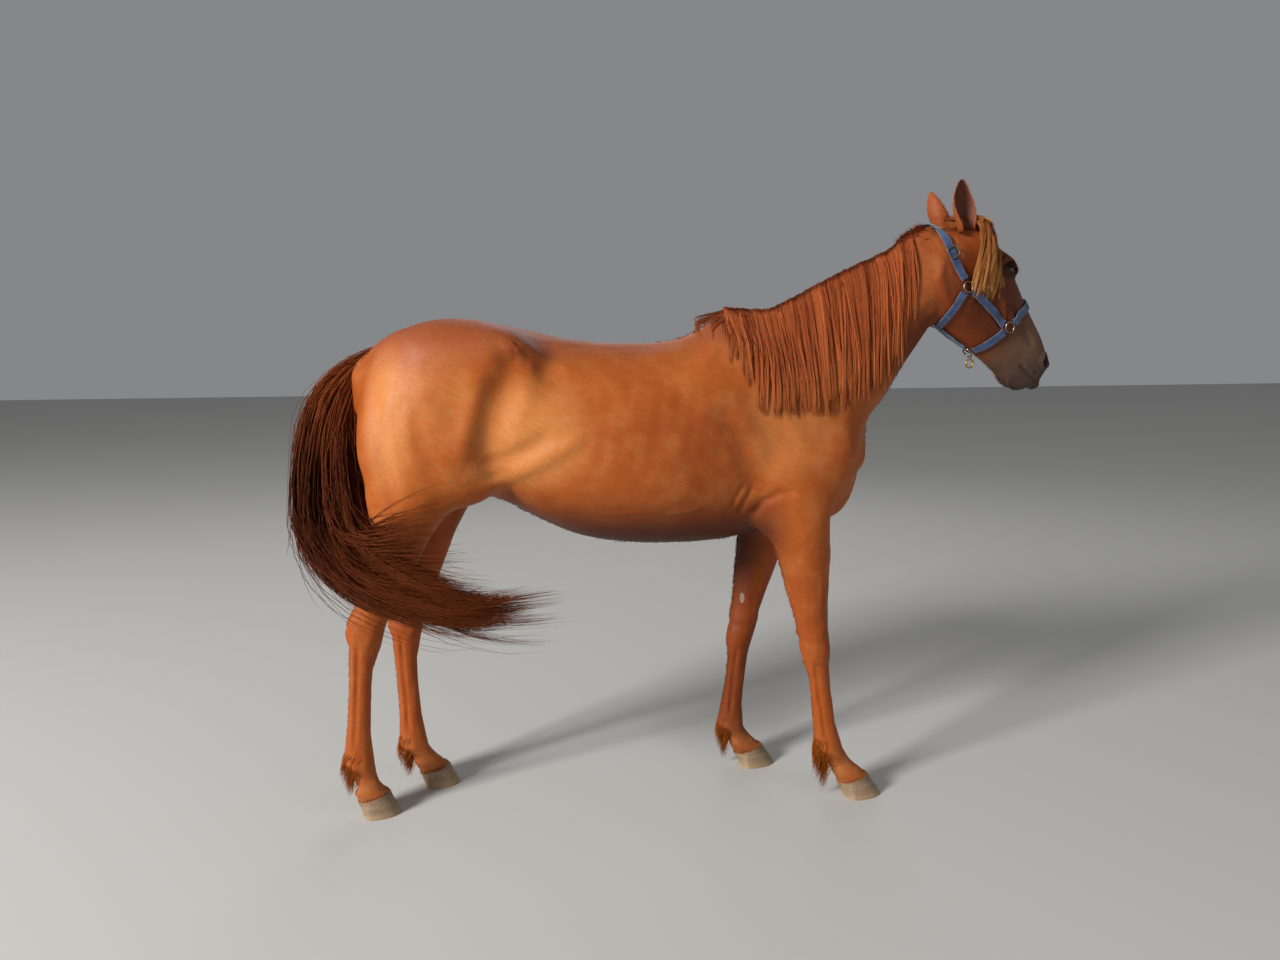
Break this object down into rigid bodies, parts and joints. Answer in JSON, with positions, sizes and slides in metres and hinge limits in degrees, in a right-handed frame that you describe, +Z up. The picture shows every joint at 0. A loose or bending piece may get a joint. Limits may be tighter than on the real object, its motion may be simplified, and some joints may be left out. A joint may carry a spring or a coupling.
{
  "type": "horse model",
  "caption": "Life-size still model of a chestnut riding horse standing square in a webbing head collar, mane on the right, tail blown round the right hock.",
  "frame": {"origin": "middle of the bounding box, at the floor", "axes": "+X is where the horse faces, +Y is its left and +Z is up"},
  "size_m": [2.5036, 0.5838, 2.007],
  "materials": {
    "coat": "short glossy chestnut hair",
    "mane": "long straight hair",
    "tail": "long straight hair",
    "hoof": "matt horn",
    "eye": "wet gloss",
    "webbing": "worn woven webbing",
    "metal": "dulled"
  },
  "bodies": {
    "root": {"ear_left": "coat", "ear_right": "coat", "eye_left": "eye", "eye_right": "eye", "forelock": "mane", "halter_buckle": "metal", "halter_cheek_left": "webbing", "halter_cheek_right": "webbing", "halter_cheek_ring_left": "metal", "halter_cheek_ring_right": "metal", "halter_chin_left": "webbing", "halter_chin_right": "webbing", "halter_chin_ring": "metal", "halter_crown": "webbing", "halter_jaw": "webbing", "halter_loose_ring": "metal", "halter_nose": "webbing", "halter_side_ring_left": "metal", "halter_side_ring_right": "metal", "halter_throat": "webbing", "head": "coat", "leg_fore_left_cannon": "coat", "leg_fore_left_forearm": "coat", "leg_fore_left_hoof": "hoof", "leg_fore_left_pastern": "coat", "leg_fore_left_tuft": "mane", "leg_fore_right_cannon": "coat", "leg_fore_right_forearm": "coat", "leg_fore_right_hoof": "hoof", "leg_fore_right_pastern": "coat", "leg_fore_right_tuft": "mane", "leg_hind_left_cannon": "coat", "leg_hind_left_gaskin": "coat", "leg_hind_left_hoof": "hoof", "leg_hind_left_pastern": "coat", "leg_hind_left_tuft": "mane", "leg_hind_right_cannon": "coat", "leg_hind_right_gaskin": "coat", "leg_hind_right_hoof": "hoof", "leg_hind_right_pastern": "coat", "leg_hind_right_tuft": "mane", "mane": "mane", "neck": "coat", "tail_end": "tail", "tail_middle": "tail", "tail_root": "tail", "trunk": "coat"}
  },
  "joints": []
}
